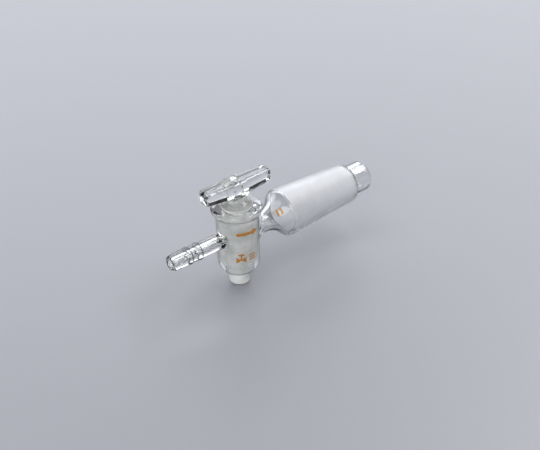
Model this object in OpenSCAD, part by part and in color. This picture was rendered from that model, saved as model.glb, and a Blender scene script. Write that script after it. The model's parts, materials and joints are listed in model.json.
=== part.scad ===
// Glass stopcock: a barrel with a ground taper socket, a solid plug with a T-handle, a barbed hose nozzle on
// one side and a ground male joint on the other. The passage runs along X and the plug turns about an upright
// axis. The origin is the middle of the ground cone's large end, where the stopcock is held.

/* [Passage] */
// Diameter of the passage through the plug and the barrel's walls
bore_d = 3; // [2:0.5:5]

/* [Barrel] */
// Outer diameter of the barrel
barrel_d = 20.4; // [18:0.2:24]
// Height of the rim's top above the passage
barrel_rise = 15.4; // [13:0.2:24]
// Depth of the lower lip below the passage
barrel_drop = 19.8; // [17:0.2:28]
// Outer diameter of the rim
rim_d = 24.6; // [23:0.2:28]
// Height of the rounded rim
rim_h = 3.2; // [2:0.2:4]
// Radius of the sweep from the wall out to the rim
flare_r = 3.5; // [2:0.5:6]
// Radius of the turn from the wall in to the lower lip
foot_r = 7.6; // [5:0.2:9]
// Thickness of the glass at the lower lip
lip_wall = 1.8; // [0.8:0.1:2]
// Radius of the rounded mouth of the socket
mouth_r = 1; // [0.4:0.1:1.6]

/* [Plug] */
// Diameter of the plug's ground cone, level with the barrel's rim
plug_d = 14.2; // [12:0.2:15]
// Length over which the plug's diameter falls by one millimetre
plug_taper = 10; // [8:1:20]
// Thickness of the grease film between the plug and the socket
grease_film = 0.05; // [0.02:0.01:0.1]
// Length of the plug that stands out below the lower lip
tail_l = 7.2; // [3:0.2:12]
// Radius of the rounded edge at the plug's lower end
tail_r = 0.8; // [0.3:0.1:1.5]
// Height above the rim at which the ground cone ends
head_rise = 0.5; // [0:0.1:2]
// Radius of the rounded shoulder above the ground cone
dome_r = 2.5; // [1:0.1:3]
// Diameter of the stem between the plug and the handle
stem_d = 8; // [6:0.2:9]
// Radius of the hollow between the shoulder and the stem
stem_fillet = 2.5; // [1:0.1:4]

/* [Handle] */
// Height of the handle's straight top above the barrel's rim
handle_rise = 13.8; // [13:0.1:20]
// Length of the handle from tip to tip
handle_l = 38; // [26:0.2:50]
// Height of a wing at the hub
wing_root_h = 8.2; // [6:0.1:10]
// Depth of a wing at the hub
wing_root_w = 8.8; // [6:0.1:10]
// Height of a wing near its tip
wing_tip_h = 6.7; // [4:0.1:8]
// Depth of a wing near its tip
wing_tip_w = 7.2; // [4:0.1:8]
// Radius of the rounded end of a wing
wing_round = 1.8; // [1:0.1:4]
// How square the wing's section is, from 2 for an ellipse
wing_square = 5; // [2:0.1:8]
// Length of the hub along the handle
hub_l = 8.6; // [7:0.1:12]
// Height by which the hub stands proud of the wings
hub_proud = 0.5; // [0.1:0.1:0.8]
// Length of the slope at each end of the hub
hub_slope = 0.5; // [0.2:0.1:1]

/* [Hose nozzle] */
// Length of the nozzle from the barrel's wall to its tip
nozzle_l = 28.6; // [24:0.1:50]
// Outer diameter of the nozzle's tube
nozzle_d = 7.6; // [6:0.1:10]
// Thickness of the nozzle's wall
nozzle_wall = 2.2; // [1:0.1:2.2]
// Diameter over the ridges that grip the hose
barb_d = 8.7; // [8:0.1:11]
// Number of ridges
barb_count = 2; // [1:1:3]
// Distance from one ridge to the next
barb_pitch = 5.5; // [3:0.1:6]
// Distance from the tip to the first ridge
barb_start = 10.6; // [6:0.1:12]
// Radius of the seal where the nozzle joins the barrel
nozzle_seal_r = 2.6; // [1.5:0.1:4]

/* [Ground joint] */
// Diameter of the ground cone at its large end
cone_d = 24; // [20:0.1:30]
// Length of the ground cone
cone_l = 40; // [30:0.5:60]
// Length over which the cone's diameter falls by one millimetre
cone_taper = 10; // [8:1:20]
// Thickness of the joint's wall
joint_wall = 2; // [1.2:0.1:2.4]
// Outer diameter of the neck between the barrel and the joint
neck_d = 10.8; // [8:0.1:11.4]
// Length of the neck from the barrel's wall
neck_l = 3.8; // [3.6:0.1:14]
// Radius of the hollow between the neck and the shoulder
throat_r = 14; // [8:0.5:16]
// Radius of the rounded shoulder
shoulder_r = 2.6; // [2.6:0.1:4]
// Length of the clear collar before the ground cone
collar_l = 0.3; // [0.2:0.1:4]
// Radius of the rounded shoulder after the ground cone
end_r = 3; // [2.6:0.1:5]
// Radius of the hollow between that shoulder and the drip tip
end_fillet = 1; // [0.4:0.1:2]
// Outer diameter of the drip tip
tip_d = 15.4; // [12:0.1:18]
// Length of the drip tip from the ground cone
tip_l = 12.8; // [9:0.1:20]
// Radius of the seal where the neck joins the barrel
neck_seal_r = 3.8; // [2:0.1:4]

/* [Hidden] */
$fn = 96;

// Angle between the points of an arc, and how far a cut or a fused piece runs past the surface it meets
arc_step = 7.5;
over = 0.5;
// Depth to which a seal's edges are sunk in the glass, how far they stay inside the barrel's sides, and the
// number of its sections
seal_sink = 0.12;
seal_margin = 0.5;
seal_sides = 48;
seal_rings = 6;
// Number of sides and end rings of the handle's bar, and how far its ends sweep round before they go flat
wing_sides = 40;
wing_rings = 4;
wing_sweep = 72;

bore_r = bore_d / 2;
barrel_r = barrel_d / 2;
rim_r = rim_d / 2;
bead_r = rim_h / 2;
plug_r = plug_d / 2;
stem_r = stem_d / 2;
nozzle_r = nozzle_d / 2;
barb_step = (barb_d - nozzle_d) / 2;
cone_r = cone_d / 2;
neck_r = neck_d / 2;
tip_r = tip_d / 2;

// Points of an arc about c, from one angle to another in degrees
function arc(c, r, from, to) =
    let (steps = ceil(abs(to - from) / arc_step))
    [for (i = [0 : steps]) let (a = from + (to - from) * i / steps) c + r * [cos(a), sin(a)]];

// Distance along an outline between the centres of two arcs that meet smoothly, one hollow and one round,
// when their centres lie a given distance apart across the outline
function blend_run(r_sum, across) = sqrt(r_sum * r_sum - across * across);

// An outline given as points along and across an axis, turned for a shape that is spun about that axis
function across_along(points) = [for (p = points) [p[1], p[0]]];

// Radius of the plug's cone at a height
function plug_r_at(z) = plug_r - (barrel_rise - z) / (2 * plug_taper);
function socket_r_at(z) = plug_r_at(z) + grease_film;

plug_end = barrel_drop + tail_l;
lip_r = socket_r_at(-barrel_drop) + lip_wall;
foot_turn = acos((lip_r - barrel_r + foot_r) / foot_r);
bead_z = barrel_rise - bead_r;
flare_across = rim_r - bead_r - barrel_r - flare_r;
flare_z = bead_z - blend_run(flare_r + bead_r, flare_across);
flare_turn = atan2(bead_z - flare_z, flare_across);

// Barrel: spun about the plug's axis, from the lower lip up to the rim
barrel_outline = concat(
    [[0, -barrel_drop]],
    arc([barrel_r - foot_r, foot_r * sin(foot_turn) - barrel_drop], foot_r, -foot_turn, 0),
    arc([barrel_r + flare_r, flare_z], flare_r, 180, flare_turn),
    arc([rim_r - bead_r, bead_z], bead_r, flare_turn - 180, 90),
    [[0, barrel_rise]]
);

mouth_z = barrel_rise - mouth_r;
mouth_edge = socket_r_at(mouth_z) + mouth_r;
socket_outline = concat(
    [[0, -barrel_drop - over], [socket_r_at(-barrel_drop - over), -barrel_drop - over]],
    arc([mouth_edge, mouth_z], mouth_r, 180, 90),
    [[mouth_edge, barrel_rise + over], [0, barrel_rise + over]]
);

// Hose nozzle: along the passage, from the plug's axis out to the tip
nozzle_end = barrel_r + nozzle_l;
nozzle_edge_r = nozzle_wall / 2;
nozzle_edge = [nozzle_end - nozzle_edge_r, nozzle_r - nozzle_edge_r];
nozzle_outline = concat(
    [[0, 0], [0, nozzle_r]],
    [for (i = [barb_count - 1 : -1 : 0])
        each arc([nozzle_end - barb_start - i * barb_pitch + barb_step, nozzle_r], barb_step, 180, 90)],
    arc(nozzle_edge, nozzle_edge_r, 90, 0),
    [[nozzle_end, 0]]
);
nozzle_inside = concat(
    [[barrel_r - over, 0], [barrel_r - over, nozzle_r - nozzle_wall]],
    arc(nozzle_edge, nozzle_edge_r, -90, 0),
    [nozzle_edge + [nozzle_edge_r + over, 0], [nozzle_end + over, 0]]
);

// Ground joint: along the passage, from the plug's axis out to the drip tip
neck_x = barrel_r + neck_l;
shoulder_across = cone_r - shoulder_r - neck_r - throat_r;
shoulder_x = neck_x + blend_run(throat_r + shoulder_r, shoulder_across);
shoulder_turn = atan2(shoulder_across, shoulder_x - neck_x);
cone_x = shoulder_x + collar_l;
cone_end_x = cone_x + cone_l;
cone_end_r = cone_r - cone_l / (2 * cone_taper);
cone_slope = atan(1 / (2 * cone_taper));
end_centre = [cone_end_x, cone_end_r] - end_r * [sin(cone_slope), cos(cone_slope)];
end_across = tip_r + end_fillet - end_centre[1];
fillet_x = end_centre[0] + blend_run(end_r + end_fillet, end_across);
end_turn = atan2(end_across, fillet_x - end_centre[0]);
tip_x = cone_end_x + tip_l;
tip_edge_r = joint_wall / 2;
tip_edge = [tip_x - tip_edge_r, tip_r - tip_edge_r];

// Place of the plug's axis along X, which puts the large end of the ground cone at the origin
barrel_x = -cone_x;

// The joint's outline at a depth below its outer surface
function joint_outline(depth) = concat(
    arc([neck_x, neck_r + throat_r], throat_r + depth, -90, shoulder_turn),
    arc([shoulder_x, cone_r - shoulder_r], shoulder_r - depth, 180 + shoulder_turn, 90),
    [[cone_x, cone_r - depth]],
    arc(end_centre, end_r - depth, 90 - cone_slope, end_turn),
    arc([fillet_x, tip_r + end_fillet], end_fillet + depth, 180 + end_turn, 270)
);
joint_outside = concat(
    [[0, 0], [0, neck_r]],
    joint_outline(0),
    arc(tip_edge, tip_edge_r, 90, 0),
    [[tip_x, 0]]
);
joint_inside = concat(
    [[barrel_r - over, 0], [barrel_r - over, neck_r - joint_wall]],
    joint_outline(joint_wall),
    arc(tip_edge, tip_edge_r, -90, 0),
    [tip_edge + [tip_edge_r + over, 0], [tip_x + over, 0]]
);

// Plug: spun about its own axis, from the lower end up to the stem
handle_top = barrel_rise + handle_rise;
stem_top = handle_top - wing_root_h / 2;
plug_end_r = plug_r_at(-plug_end);
dome_z = barrel_rise + head_rise;
dome_centre = plug_r_at(dome_z) - dome_r;
dome_across = stem_r + stem_fillet - dome_centre;
dome_rise = blend_run(dome_r + stem_fillet, dome_across);
dome_turn = atan2(dome_rise, dome_across);
plug_outline = concat(
    [[0, -plug_end]],
    arc([plug_end_r - tail_r, tail_r - plug_end], tail_r, -90, 0),
    arc([dome_centre, dome_z], dome_r, 0, dome_turn),
    arc([stem_r + stem_fillet, dome_z + dome_rise], stem_fillet, 180 + dome_turn, 180),
    [[stem_r, stem_top], [0, stem_top]]
);

// A spun outline laid along +X
module along_x(outline) {
    rotate([90, 0, 90])
        rotate_extrude()
            polygon(across_along(outline));
}

// The seal of a side tube on the barrel: a hollow fillet that follows the barrel's curve all the way round
function seal_point(tube_r, seal_r, side, ring) =
    let (turn = 360 * side / seal_sides)
    let (sweep = 90 * ring / seal_rings)
    let (out = tube_r + seal_r * (1 - sin(sweep)) - seal_sink)
    let (height = seal_r * (1 - cos(sweep)) - seal_sink)
    let (y = out * cos(turn))
    [sqrt(barrel_r * barrel_r - y * y) + height, y, out * sin(turn)];

module tube_seal(tube_r, seal_r) {
    fit_r = min(seal_r, barrel_r - seal_margin - tube_r);
    skin = [for (ring = [0 : seal_rings], side = [0 : seal_sides - 1])
        seal_point(tube_r, fit_r, side, ring)];
    inner_end = len(skin);
    outer_end = inner_end + 1;
    top = seal_rings * seal_sides;
    ends = [[barrel_r / 2, 0, 0], [barrel_r + fit_r / 2, 0, 0]];
    faces = [for (side = [0 : seal_sides - 1]) let (next = (side + 1) % seal_sides) each concat(
        [[inner_end, side, next], [outer_end, top + next, top + side]],
        [for (ring = [0 : seal_rings - 1]) let (a = ring * seal_sides, b = a + seal_sides) each
            [[a + side, b + side, b + next], [a + side, b + next, a + next]]]
    )];
    polyhedron(concat(skin, ends), faces);
}

// Barrel, hose nozzle and ground joint, sealed together as one piece of glass
module stopcock_body() {
    color("lightcyan", 0.5)
        translate([barrel_x, 0, 0])
            difference() {
                union() {
                    rotate_extrude()
                        polygon(barrel_outline);
                    mirror([1, 0, 0])
                        along_x(nozzle_outline);
                    mirror([1, 0, 0])
                        tube_seal(nozzle_r, nozzle_seal_r);
                    along_x(joint_outside);
                    tube_seal(neck_r, neck_seal_r);
                }
                rotate_extrude()
                    polygon(socket_outline);
                rotate([0, 90, 0])
                    cylinder(r = bore_r, h = barrel_d + 2 * over, center = true);
                mirror([1, 0, 0])
                    along_x(nozzle_inside);
                along_x(joint_inside);
            }
}

// A point on the wing's rounded-square section
function section_point(half_w, half_h, turn) =
    let (c = cos(turn), s = sin(turn), power = 2 / wing_square)
    [half_w * sign(c) * pow(abs(c), power), half_h * sign(s) * pow(abs(s), power)];

// A bar along X with a rounded-square section. Each station has its place along X, half the section's depth,
// half its height and the depth of its middle below the handle's top.
module bar(stations) {
    last = len(stations) - 1;
    skin = [for (s = stations, side = [0 : wing_sides - 1])
        let (p = section_point(s[1], s[2], 360 * side / wing_sides))
        [s[0], p[0], p[1] - s[3]]];
    ends = [for (s = [stations[0], stations[last]]) [s[0], 0, -s[3]]];
    near_end = len(skin);
    far_end = near_end + 1;
    far_ring = last * wing_sides;
    faces = [for (side = [0 : wing_sides - 1]) let (next = (side + 1) % wing_sides) each concat(
        [[near_end, side, next], [far_end, far_ring + next, far_ring + side]],
        [for (i = [0 : last - 1]) let (a = i * wing_sides, b = a + wing_sides) each
            [[a + side, b + side, b + next], [a + side, b + next, a + next]]]
    )];
    polyhedron(concat(skin, ends), faces);
}

// The same stations on both sides of the middle, where the first station lies
function both_sides(half) = concat(
    [for (i = [len(half) - 1 : -1 : 1]) [-half[i][0], half[i][1], half[i][2], half[i][3]]],
    half
);

// Both wings as one bar through the hub, straight on top, tapered below and round at the ends
module wings() {
    straight = handle_l / 2 - wing_round * sin(wing_sweep);
    half_w = wing_tip_w / 2;
    half_h = wing_tip_h / 2;
    bar(both_sides(concat(
        [[0, wing_root_w / 2, wing_root_h / 2, wing_root_h / 2]],
        [for (i = [0 : wing_rings]) let (a = wing_sweep * i / wing_rings)
            [straight + wing_round * sin(a), half_w * cos(a), half_h * cos(a), half_h]]
    )));
}

// Hub: a short sleeve round the middle of the bar, level with its top and sloping at the ends
module hub() {
    half_w = wing_root_w / 2 + hub_proud;
    half_h = wing_root_h / 2 + hub_proud;
    bar(both_sides([
        [0, half_w, half_h, half_h],
        [hub_l / 2 - hub_slope, half_w, half_h, half_h],
        [hub_l / 2, half_w - 2 * hub_proud, half_h - 2 * hub_proud, half_h]
    ]));
}

// Plug, stem and T-handle, pressed as one piece of solid glass
module plug() {
    color("azure", 0.7)
        translate([barrel_x, 0, 0])
            difference() {
                union() {
                    rotate_extrude()
                        polygon(plug_outline);
                    translate([0, 0, handle_top])
                        hub();
                    translate([0, 0, handle_top])
                        wings();
                }
                rotate([0, 90, 0])
                    cylinder(r = bore_r, h = plug_d + 2 * over, center = true);
            }
}

stopcock_body();
plug();
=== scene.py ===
import json
import math

import bmesh
import bpy
from mathutils import Matrix, Vector

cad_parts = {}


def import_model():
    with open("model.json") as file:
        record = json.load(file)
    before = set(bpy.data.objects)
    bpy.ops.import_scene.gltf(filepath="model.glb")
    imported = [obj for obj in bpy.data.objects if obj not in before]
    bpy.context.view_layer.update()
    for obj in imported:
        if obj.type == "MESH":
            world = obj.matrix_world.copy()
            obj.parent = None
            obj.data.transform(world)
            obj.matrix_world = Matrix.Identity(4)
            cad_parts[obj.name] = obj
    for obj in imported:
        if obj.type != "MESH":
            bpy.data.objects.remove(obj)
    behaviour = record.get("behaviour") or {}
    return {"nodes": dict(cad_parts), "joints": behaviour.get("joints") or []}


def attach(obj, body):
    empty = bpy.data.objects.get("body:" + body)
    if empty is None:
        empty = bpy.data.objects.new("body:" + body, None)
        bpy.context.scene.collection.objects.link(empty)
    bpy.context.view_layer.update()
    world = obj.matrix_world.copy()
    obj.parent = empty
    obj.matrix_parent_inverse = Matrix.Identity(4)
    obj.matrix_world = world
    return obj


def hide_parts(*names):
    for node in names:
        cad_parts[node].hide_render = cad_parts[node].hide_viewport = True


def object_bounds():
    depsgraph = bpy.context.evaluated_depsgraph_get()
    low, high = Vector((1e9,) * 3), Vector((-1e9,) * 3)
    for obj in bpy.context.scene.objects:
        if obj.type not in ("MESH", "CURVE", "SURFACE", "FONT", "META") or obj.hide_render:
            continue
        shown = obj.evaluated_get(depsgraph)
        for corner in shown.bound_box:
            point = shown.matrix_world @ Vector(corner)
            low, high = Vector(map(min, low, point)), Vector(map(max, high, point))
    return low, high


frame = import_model()
cad_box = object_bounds()

MM = 0.001

# The plug's axis stands at this place along the passage, and the ground cone's large end is at the origin
PLUG_X = frame["joints"][0]["pos_m"][0]

# Barrel, in millimetres from the crossing of the passage and the plug's axis: its radius and the ground zone
# of its socket, whose faces are upright when their normals rise less than this
BARREL_R = 10.2
SOCKET_GROUND_TOP = 10.6
SOCKET_GROUND_END = -15.4
SOCKET_REACH = 8.4
UPRIGHT_BELOW = 0.3

# Plug: its ground cone ends below the shoulder, and glass nearer to its axis than this isn't ground
PLUG_GROUND_TOP = 15.9
PLUG_CORE_R = 4

# Nozzle: its radius, where the band that the tool marked at each barb's step begins, and the band's length
NOZZLE_R = 3.8
BARB_BANDS = (-29.05, -23.55)
BARB_BAND = 0.85

# Ground joint: where the matt zone begins and ends, and the cone it lies on
GROUND_FROM = -1.2
GROUND_TO = 40.4
CONE_R = 12.0
CONE_FALL = 1 / 20
JOINT_WALL = 2.0
NECK_R = 5.4
NECK_X = 14.0
THROAT_R = 14.0

# Side tubes: which way each leaves the barrel, its radius and the radius of its seal. A seal begins a little
# above the barrel and a little inside the tube's skin.
SEALS = ((-1, NOZZLE_R, 2.6), (1, NECK_R, 3.8))
SEAL_RISE = 0.02
SEAL_SLACK = 0.1

# Ends melted in the flame, which are the nozzle's end and the drip tip: from and to along the passage,
# measured from the ground cone's large end, and outside which radius
MELTED_ENDS = ((-66.4, -64.9, 2.2), (GROUND_TO, 52.9, 6.0))

# Glass: how strongly it bends light, its tint seen square on, the painted shade that darkens it edge-on, and
# the span between the two
BOROSILICATE_IOR = 1.473
SQUARE_TINT = "#FBFCFB"
PAINTED_EDGE_SHADE = "#262C2E"
EDGE_SPAN = 0.4

# Copies of the CAD meshes, in millimetres and degrees: points this close are one, and edges that turn by more
# than the last value stay sharp
WELD = 0.002
SLIVER = 0.001
CUT_WELD = 0.0001
SMOOTH_BELOW = 32

# Enamel marks: how far they stand proud of the glass, how thick they are and how finely they bend with it
MARK_PROUD = 0.02
MARK_THICK = 0.05
MARK_GRID = 0.6
MARK_WELD = 0.01

# Drawings of the marks: the middle and size of a bar, or the tip and size of a triangle
FLOW_SHAFT = ((-1.8, 0), (8.0, 1.5))
FLOW_HEAD = ((6.0, 0), (3.8, 3.4))
VALVE_RIGHT = ((-0.2, -0.8), (2.6, 3.2))
VALVE_LEFT = ((0.2, -0.8), (2.6, 3.2))
VALVE_STEM = ((0, 0.6), (0.7, 2.4))
VALVE_GRIP = ((0, 2.1), (3.0, 0.8))
LINE_X = 5.6
LINE_HEIGHTS = (1.4, 0.1, -1.2)
LINE_SIZE = (3.6, 0.6)
TAPER_BARS = (-0.9, 0.9)
TAPER_SIZE = (0.8, 3.4)

# Places of the marks: angle and height on the barrel, or distance along the passage and angle on the shoulder
FLOW_PLACE = (-98, 5.2)
SIGN_PLACE = (-120, -8.2)
TAPER_PLACE = (21.2, 43)

# Camera
CAMERA_AZIMUTH = -38.76
CAMERA_ELEVATION = 33.2
CAMERA_ROLL = -1.47
CAMERA_DISTANCE = 473.46
CAMERA_LENS = 67.06
CAMERA_SENSOR = 36
CAMERA_NEAR = 0.01
AIM_RIGHT = 15.28
AIM_UP = 3.15

# Studio, in metres: the floor, and the rise at which the room turns from pale to dark
FLOOR_HALF = 2.0
FLOOR_COLOUR = "#808188"
ROOM_PALE = "#B4B5BA"
ROOM_DARK = "#121316"
ROOM_PALE_TO = 0.14
ROOM_DARK_FROM = 0.26

# Lamps: name, place, size, power in watts and colour
LAMPS = (
    ("key_softbox", (1.25, -0.38, 1.8), (2.5, 0.65), 44, "#FFFFFF"),
    ("overhead_softbox", (-0.75, 0.62, 2.25), (2.25, 2.25), 42, "#FFFFFF"),
    ("front_softbox", (-1.5, -1.25, 1.12), (1.75, 1.5), 36, "#FFFFFF"),
    ("back_card", (1.05, 2.27, 1.12), (6.0, 1.6), 84, "#F6F8FF"),
)


# Materials

def linear(hex_colour):
    """An sRGB hex colour as linear numbers."""
    parts = [int(hex_colour[i:i + 2], 16) / 255 for i in (1, 3, 5)]
    return [c / 12.92 if c <= 0.04045 else ((c + 0.055) / 1.055) ** 2.4 for c in parts] + [1]


def per_mm(size):
    """The scale of a pattern whose cells measure this many millimetres."""
    return 1 / (size * MM)


def add(tree, kind, settings=None, **inputs):
    """Adds a node. An input is a value or another node's output, and its name has _ for a space."""
    node = tree.nodes.new(kind)
    for name, value in (settings or {}).items():
        setattr(node, name, value)
    for name, value in inputs.items():
        key = name.replace("_", " ")
        socket = node.inputs[int(name[2:])] if name.startswith("at") else node.inputs[key]
        if isinstance(value, bpy.types.NodeSocket):
            tree.links.new(value, socket)
        else:
            socket.default_value = value
    return node


def new_material(name):
    material = bpy.data.materials.new(name)
    material.use_nodes = True
    material.node_tree.nodes.clear()
    return material, material.node_tree


def finish_material(tree, surface):
    add(tree, "ShaderNodeOutputMaterial", Surface=surface.outputs[0])


def painted_edge_shade(tree, start):
    """Painted shade: the glass's colour is darkened where its surface is seen edge-on, to draw the dark
    outlines that glass shows at its edges.
    """
    facing = add(tree, "ShaderNodeLayerWeight", Blend=0.5).outputs["Facing"]
    # How far the surface turns edge-on to the eye sets how much painted shade it gets.
    depth = add(tree, "ShaderNodeMapRange", {"interpolation_type": "SMOOTHSTEP"}, Value=facing,
                From_Min=start, From_Max=start + EDGE_SPAN, To_Min=0.0, To_Max=1.0)
    tone = add(tree, "ShaderNodeMix", {"data_type": "RGBA"}, Factor=depth.outputs[0],
               at6=linear(SQUARE_TINT), at7=linear(PAINTED_EDGE_SHADE))
    return tone.outputs[2]


def blown_borosilicate(name, wave, depth, edge):
    """Lamp-blown borosilicate glass: clear, with the slow waves that working in a flame leaves."""
    material, tree = new_material(name)
    place = add(tree, "ShaderNodeTexCoord").outputs["Object"]
    waves = add(tree, "ShaderNodeTexNoise", Vector=place, Scale=per_mm(wave), Detail=1.0, Roughness=0.4)
    relief = add(tree, "ShaderNodeBump", Strength=1.0, Distance=depth * MM, Height=waves.outputs[0])
    smear = add(tree, "ShaderNodeTexNoise", Vector=place, Scale=per_mm(4), Detail=4.0)
    gloss = add(tree, "ShaderNodeMapRange", Value=smear.outputs[0], From_Min=0.45, From_Max=0.8,
                To_Min=0.0, To_Max=0.06)
    # The base colour is painted shade at the edges: dark where the glass is seen edge-on.
    surface = add(tree, "ShaderNodeBsdfPrincipled", Base_Color=painted_edge_shade(tree, edge),
                  Transmission_Weight=1.0, IOR=BOROSILICATE_IOR, Roughness=gloss.outputs[0],
                  Normal=relief.outputs[0])
    finish_material(tree, surface)
    return material


def pressed_glass():
    """Glass pressed in an iron mould: clear, with the shallow dimples of a chilled skin."""
    material, tree = new_material("pressed_glass")
    place = add(tree, "ShaderNodeTexCoord").outputs["Object"]
    dimples = add(tree, "ShaderNodeTexNoise", Vector=place, Scale=per_mm(2.2), Detail=2.0, Roughness=0.5)
    relief = add(tree, "ShaderNodeBump", Strength=0.3, Distance=0.03 * MM, Height=dimples.outputs[0])
    # The base colour is painted shade at the edges: dark where the glass is seen edge-on.
    surface = add(tree, "ShaderNodeBsdfPrincipled", Base_Color=painted_edge_shade(tree, 0.5),
                  Transmission_Weight=1.0, IOR=BOROSILICATE_IOR, Roughness=0.02, Normal=relief.outputs[0])
    finish_material(tree, surface)
    return material


def ground_glass(name, along, whiteness, roughness, white, shade):
    """Glass ground matt with fine grit: white and translucent, with faint lines round the axis."""
    material, tree = new_material(name)
    place = add(tree, "ShaderNodeTexCoord").outputs["Object"]
    # The grinding lines run round the axis. They are drawn coarser than the grit so that they show.
    stretch = [per_mm(0.5) if axis == along else per_mm(12) for axis in "XYZ"]
    lines_place = add(tree, "ShaderNodeMapping", Vector=place, Scale=stretch)
    lines = add(tree, "ShaderNodeTexNoise", Vector=lines_place.outputs[0], Scale=1.0, Detail=3.0)
    grit = add(tree, "ShaderNodeTexNoise", Vector=place, Scale=per_mm(0.35), Detail=2.0)
    height = add(tree, "ShaderNodeMix", {"data_type": "FLOAT"}, Factor=0.5,
                 at2=lines.outputs[0], at3=grit.outputs[0])
    relief = add(tree, "ShaderNodeBump", Strength=0.35, Distance=0.05 * MM, Height=height.outputs[0])
    # The grit bites unevenly, so the white has cloudy and streaky places where the glass shows through.
    cloud = add(tree, "ShaderNodeTexNoise", Vector=place, Scale=per_mm(7), Detail=3.0)
    bite = add(tree, "ShaderNodeMix", {"data_type": "FLOAT"}, Factor=0.4,
               at2=cloud.outputs[0], at3=lines.outputs[0])
    thin = add(tree, "ShaderNodeMapRange", Value=bite.outputs[0], From_Min=0.4, From_Max=0.62)
    tone = add(tree, "ShaderNodeMix", {"data_type": "RGBA"}, Factor=thin.outputs[0],
               at6=linear(white), at7=linear(shade))
    matt = add(tree, "ShaderNodeMapRange", Value=lines.outputs[0], From_Min=0.3, From_Max=0.7,
               To_Min=roughness - 0.05, To_Max=roughness + 0.05)
    surface = add(tree, "ShaderNodeBsdfPrincipled", Base_Color=tone.outputs[2],
                  Transmission_Weight=1 - whiteness, IOR=BOROSILICATE_IOR, Roughness=matt.outputs[0],
                  Normal=relief.outputs[0])
    finish_material(tree, surface)
    return material


def tooled_glass():
    """Borosilicate formed with a carbon tool: clear, and greyed where the tool was pressed in."""
    material, tree = new_material("tooled_borosilicate")
    place = add(tree, "ShaderNodeTexCoord").outputs["Object"]
    streak = add(tree, "ShaderNodeTexNoise", Vector=place, Scale=per_mm(1.5), Detail=2.0)
    tone = add(tree, "ShaderNodeMix", {"data_type": "RGBA"}, Factor=streak.outputs[0],
               at6=linear("#242526"), at7=linear("#48494B"))
    surface = add(tree, "ShaderNodeBsdfPrincipled", Base_Color=tone.outputs[2],
                  Transmission_Weight=1.0, IOR=BOROSILICATE_IOR, Roughness=0.15)
    finish_material(tree, surface)
    return material


def fired_enamel():
    """Orange-brown enamel printed and fired on: thin, slightly glossy and a little uneven in colour."""
    material, tree = new_material("fired_enamel")
    place = add(tree, "ShaderNodeTexCoord").outputs["Object"]
    depth = add(tree, "ShaderNodeTexNoise", Vector=place, Scale=per_mm(0.8), Detail=3.0)
    tone = add(tree, "ShaderNodeMix", {"data_type": "RGBA"}, Factor=depth.outputs[0],
               at6=linear("#96590F"), at7=linear("#C48A25"))
    relief = add(tree, "ShaderNodeBump", Strength=0.3, Distance=0.02 * MM, Height=depth.outputs[0])
    surface = add(tree, "ShaderNodeBsdfPrincipled", Base_Color=tone.outputs[2], Roughness=0.35,
                  Normal=relief.outputs[0])
    finish_material(tree, surface)
    return material


clear_body = blown_borosilicate("blown_borosilicate", 9, 0.03, 0.5)
clear_seal = blown_borosilicate("flame_sealed_borosilicate", 2.4, 0.2, 0.6)
clear_end = blown_borosilicate("fire_polished_borosilicate", 3, 0.1, 0.42)
clear_plug = pressed_glass()
matt_joint = ground_glass("ground_joint_glass", "X", 0.2, 0.55, "#F0F1F2", "#E6E7EB")
matt_fit = ground_glass("ground_plug_glass", "Z", 0.85, 0.5, "#FBFBFB", "#D6DBD5")
tooled_step = tooled_glass()
enamel = fired_enamel()


# Pieces

def new_piece(name, bm, materials):
    mesh = bpy.data.meshes.new(name)
    bm.to_mesh(mesh)
    bm.free()
    piece = bpy.data.objects.new(name, mesh)
    bpy.context.scene.collection.objects.link(piece)
    for material in materials:
        mesh.materials.append(material)
    return piece


def glass_copy(node, name, materials, finish, cuts=()):
    """A smooth copy of a CAD node. The function finish gives a face's material from its middle and its
    normal, and the cuts across the passage let a material begin there."""
    bm = bmesh.new()
    bm.from_mesh(frame["nodes"][node].data)
    bmesh.ops.remove_doubles(bm, verts=bm.verts, dist=WELD * MM)
    bmesh.ops.dissolve_degenerate(bm, dist=SLIVER * MM, edges=bm.edges)
    for cut in cuts:
        bmesh.ops.bisect_plane(bm, geom=bm.verts[:] + bm.edges[:] + bm.faces[:], dist=CUT_WELD * MM,
                               plane_co=(PLUG_X + cut * MM, 0, 0), plane_no=(1, 0, 0))
    for edge in bm.edges:
        edge.smooth = len(edge.link_faces) == 2 and edge.calc_face_angle() < math.radians(SMOOTH_BELOW)
    for face in bm.faces:
        face.smooth = True
        middle = (face.calc_center_median() - Vector((PLUG_X, 0, 0))) / MM
        face.material_index = materials.index(finish(middle, face.normal))
    piece = new_piece(name, bm, materials)
    piece.modifiers.new("even_normals", "WEIGHTED_NORMAL").keep_sharp = True
    return piece


def body_finish(middle, normal):
    """Where the body is ground, melted, tooled, sealed or plain, in millimetres from the crossing."""
    from_axis = math.hypot(middle.x, middle.y)
    from_passage = math.hypot(middle.y, middle.z)
    x = middle.x + PLUG_X / MM
    if GROUND_FROM < x < GROUND_TO and from_passage > CONE_R - CONE_FALL * x - JOINT_WALL / 2:
        return matt_joint
    faces_plug = normal.x * middle.x + normal.y * middle.y < 0 and abs(normal.z) < UPRIGHT_BELOW
    if faces_plug and from_axis < SOCKET_REACH and SOCKET_GROUND_END < middle.z < SOCKET_GROUND_TOP:
        return matt_fit
    for start, end, reach in MELTED_ENDS:
        if start < x < end and from_passage > reach:
            return clear_end
    for band in BARB_BANDS:
        if band < middle.x < band + BARB_BAND and from_passage > NOZZLE_R:
            return tooled_step
    for side, tube_r, seal_r in SEALS:
        on_seal = from_axis > BARREL_R + SEAL_RISE and 0 < side * middle.x < BARREL_R + seal_r
        if on_seal and tube_r - SEAL_SLACK < from_passage < tube_r + seal_r:
            return clear_seal
    return clear_body


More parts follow.
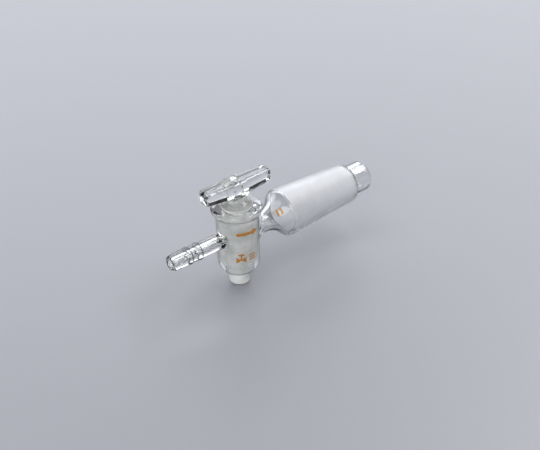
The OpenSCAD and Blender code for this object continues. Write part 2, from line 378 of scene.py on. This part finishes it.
def plug_finish(middle, normal):
    """The plug's cone is ground, and the rest is as pressed."""
    cone = middle.z < PLUG_GROUND_TOP and math.hypot(middle.x, middle.y) > PLUG_CORE_R
    return matt_fit if cone else clear_plug


def body_glass():
    materials = [clear_body, clear_seal, clear_end, matt_joint, matt_fit, tooled_step]
    piece = glass_copy("stopcock_body", "body_glass", materials, body_finish, BARB_BANDS)
    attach(piece, "barrel")
    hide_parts("stopcock_body")


def plug_glass():
    piece = glass_copy("plug", "plug_glass", [clear_plug, matt_fit], plug_finish)
    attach(piece, "plug")
    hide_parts("plug")


def add_bar(bm, centre, size):
    """A flat bar on the drawing plane, cut finely enough to bend."""
    made = bmesh.ops.create_grid(bm, x_segments=max(1, round(size[0] / MARK_GRID)),
                                 y_segments=max(1, round(size[1] / MARK_GRID)), size=0.5)
    bmesh.ops.scale(bm, verts=made["verts"], vec=(size[0], size[1], 1))
    bmesh.ops.translate(bm, verts=made["verts"], vec=(*centre, 0))


def add_triangle(bm, tip, size, way=1):
    """A flat triangle that points along +X, or along -X when its way is -1."""
    made = bmesh.ops.create_grid(bm, x_segments=max(1, round(size[0] / MARK_GRID)), y_segments=2,
                                 size=0.5)
    for vert in made["verts"]:
        vert.co.y = tip[1] + vert.co.y * size[1] * (0.5 - vert.co.x)
        vert.co.x = tip[0] + way * size[0] * (vert.co.x - 0.5)


def on_barrel(angle, height):
    """Where a point of a flat drawing lies when its middle is on the barrel at an angle and a height."""
    def place(u, v):
        reach = BARREL_R + MARK_PROUD
        turn = math.radians(angle) + u / BARREL_R
        return Vector((reach * math.cos(turn), reach * math.sin(turn), height + v))
    return place


def on_shoulder(x, angle):
    """The same on the hollow before the ground joint, at a distance along the passage and an angle."""
    def place(u, v):
        rise = THROAT_R - math.sqrt(THROAT_R ** 2 - (x + u - NECK_X) ** 2)
        reach = NECK_R + rise + MARK_PROUD
        turn = math.radians(angle) + v / reach
        return Vector((x + u, -reach * math.cos(turn), reach * math.sin(turn)))
    return place


def print_mark(name, bm, place):
    """Lays a flat drawing in millimetres on the glass and gives it the thickness of a coat of enamel."""
    bmesh.ops.remove_doubles(bm, verts=bm.verts, dist=MARK_WELD)
    for vert in bm.verts:
        vert.co = place(vert.co.x, vert.co.y) * MM + Vector((PLUG_X, 0, 0))
    bmesh.ops.recalc_face_normals(bm, faces=bm.faces)
    piece = new_piece(name, bm, [enamel])
    coat = piece.modifiers.new("coat", "SOLIDIFY")
    coat.thickness = MARK_THICK * MM
    coat.offset = 1
    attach(piece, "barrel")


def marks():
    flow = bmesh.new()
    add_bar(flow, *FLOW_SHAFT)
    add_triangle(flow, *FLOW_HEAD)
    print_mark("flow_mark", flow, on_barrel(*FLOW_PLACE))
    sign = bmesh.new()
    add_triangle(sign, *VALVE_LEFT)
    add_triangle(sign, *VALVE_RIGHT, -1)
    add_bar(sign, *VALVE_STEM)
    add_bar(sign, *VALVE_GRIP)
    for height in LINE_HEIGHTS:
        add_bar(sign, (LINE_X, height), LINE_SIZE)
    print_mark("sign_mark", sign, on_barrel(*SIGN_PLACE))
    taper = bmesh.new()
    for x in TAPER_BARS:
        add_bar(taper, (x, 0), TAPER_SIZE)
    print_mark("taper_mark", taper, on_shoulder(*TAPER_PLACE))


# Studio

def camera_axes():
    """The directions to the right, up and back of the camera, and the first two after its roll."""
    turn = math.radians(CAMERA_AZIMUTH)
    rise = math.radians(CAMERA_ELEVATION)
    roll = math.radians(CAMERA_ROLL)
    back = Vector((math.sin(turn) * math.cos(rise), -math.cos(turn) * math.cos(rise), math.sin(rise)))
    right = Vector((math.cos(turn), math.sin(turn), 0))
    up = back.cross(right)
    rolled_right = right * math.cos(roll) + up * math.sin(roll)
    rolled_up = up * math.cos(roll) - right * math.sin(roll)
    return right, up, back, rolled_right, rolled_up


def camera():
    right, up, back, rolled_right, rolled_up = camera_axes()
    aim = Vector((PLUG_X, 0, 0)) + (right * AIM_RIGHT + up * AIM_UP) * MM
    data = bpy.data.cameras.new("camera")
    data.lens = CAMERA_LENS
    data.sensor_width = CAMERA_SENSOR
    data.clip_start = CAMERA_NEAR
    eye = bpy.data.objects.new("camera", data)
    bpy.context.scene.collection.objects.link(eye)
    turn = Matrix((rolled_right, rolled_up, back)).transposed().to_4x4()
    eye.matrix_world = Matrix.Translation(aim + back * CAMERA_DISTANCE * MM) @ turn
    bpy.context.scene.camera = eye


def softbox(name, place, size, power, colour):
    data = bpy.data.lights.new(name, "AREA")
    data.color = linear(colour)[:3]
    data.shape = "RECTANGLE"
    data.size, data.size_y = size
    data.energy = power
    lamp = bpy.data.objects.new(name, data)
    lamp.visible_camera = False
    bpy.context.scene.collection.objects.link(lamp)
    lamp.location = place
    lamp.rotation_euler = (-Vector(place)).to_track_quat("-Z", "Y").to_euler()


def floor():
    material, tree = new_material("pale_floor")
    surface = add(tree, "ShaderNodeBsdfPrincipled", Base_Color=linear(FLOOR_COLOUR), Roughness=0.42, IOR=1.6)
    finish_material(tree, surface)
    bm = bmesh.new()
    bmesh.ops.create_grid(bm, x_segments=1, y_segments=1, size=FLOOR_HALF)
    bmesh.ops.translate(bm, verts=bm.verts, vec=(0, 0, cad_box[0].z))
    new_piece("floor", bm, [material])


def world():
    """A room that is pale at the level of the floor and dark above it, between the lamps."""
    room = bpy.data.worlds.new("room")
    bpy.context.scene.world = room
    room.use_nodes = True
    tree = room.node_tree
    tree.nodes.clear()
    direction = add(tree, "ShaderNodeTexCoord").outputs["Generated"]
    height = add(tree, "ShaderNodeSeparateXYZ", Vector=direction).outputs["Z"]
    step = add(tree, "ShaderNodeMapRange", {"interpolation_type": "SMOOTHSTEP"}, Value=height,
               From_Min=ROOM_PALE_TO, From_Max=ROOM_DARK_FROM, To_Min=0.0, To_Max=1.0)
    tone = add(tree, "ShaderNodeMix", {"data_type": "RGBA"}, Factor=step.outputs[0],
               at6=linear(ROOM_PALE), at7=linear(ROOM_DARK))
    light = add(tree, "ShaderNodeBackground", Color=tone.outputs[2], Strength=1.0)
    add(tree, "ShaderNodeOutputWorld", Surface=light.outputs[0])


body_glass()
plug_glass()
marks()
camera()
floor()
world()
for lamp in LAMPS:
    softbox(*lamp)
bpy.context.scene.view_settings.view_transform = "Standard"
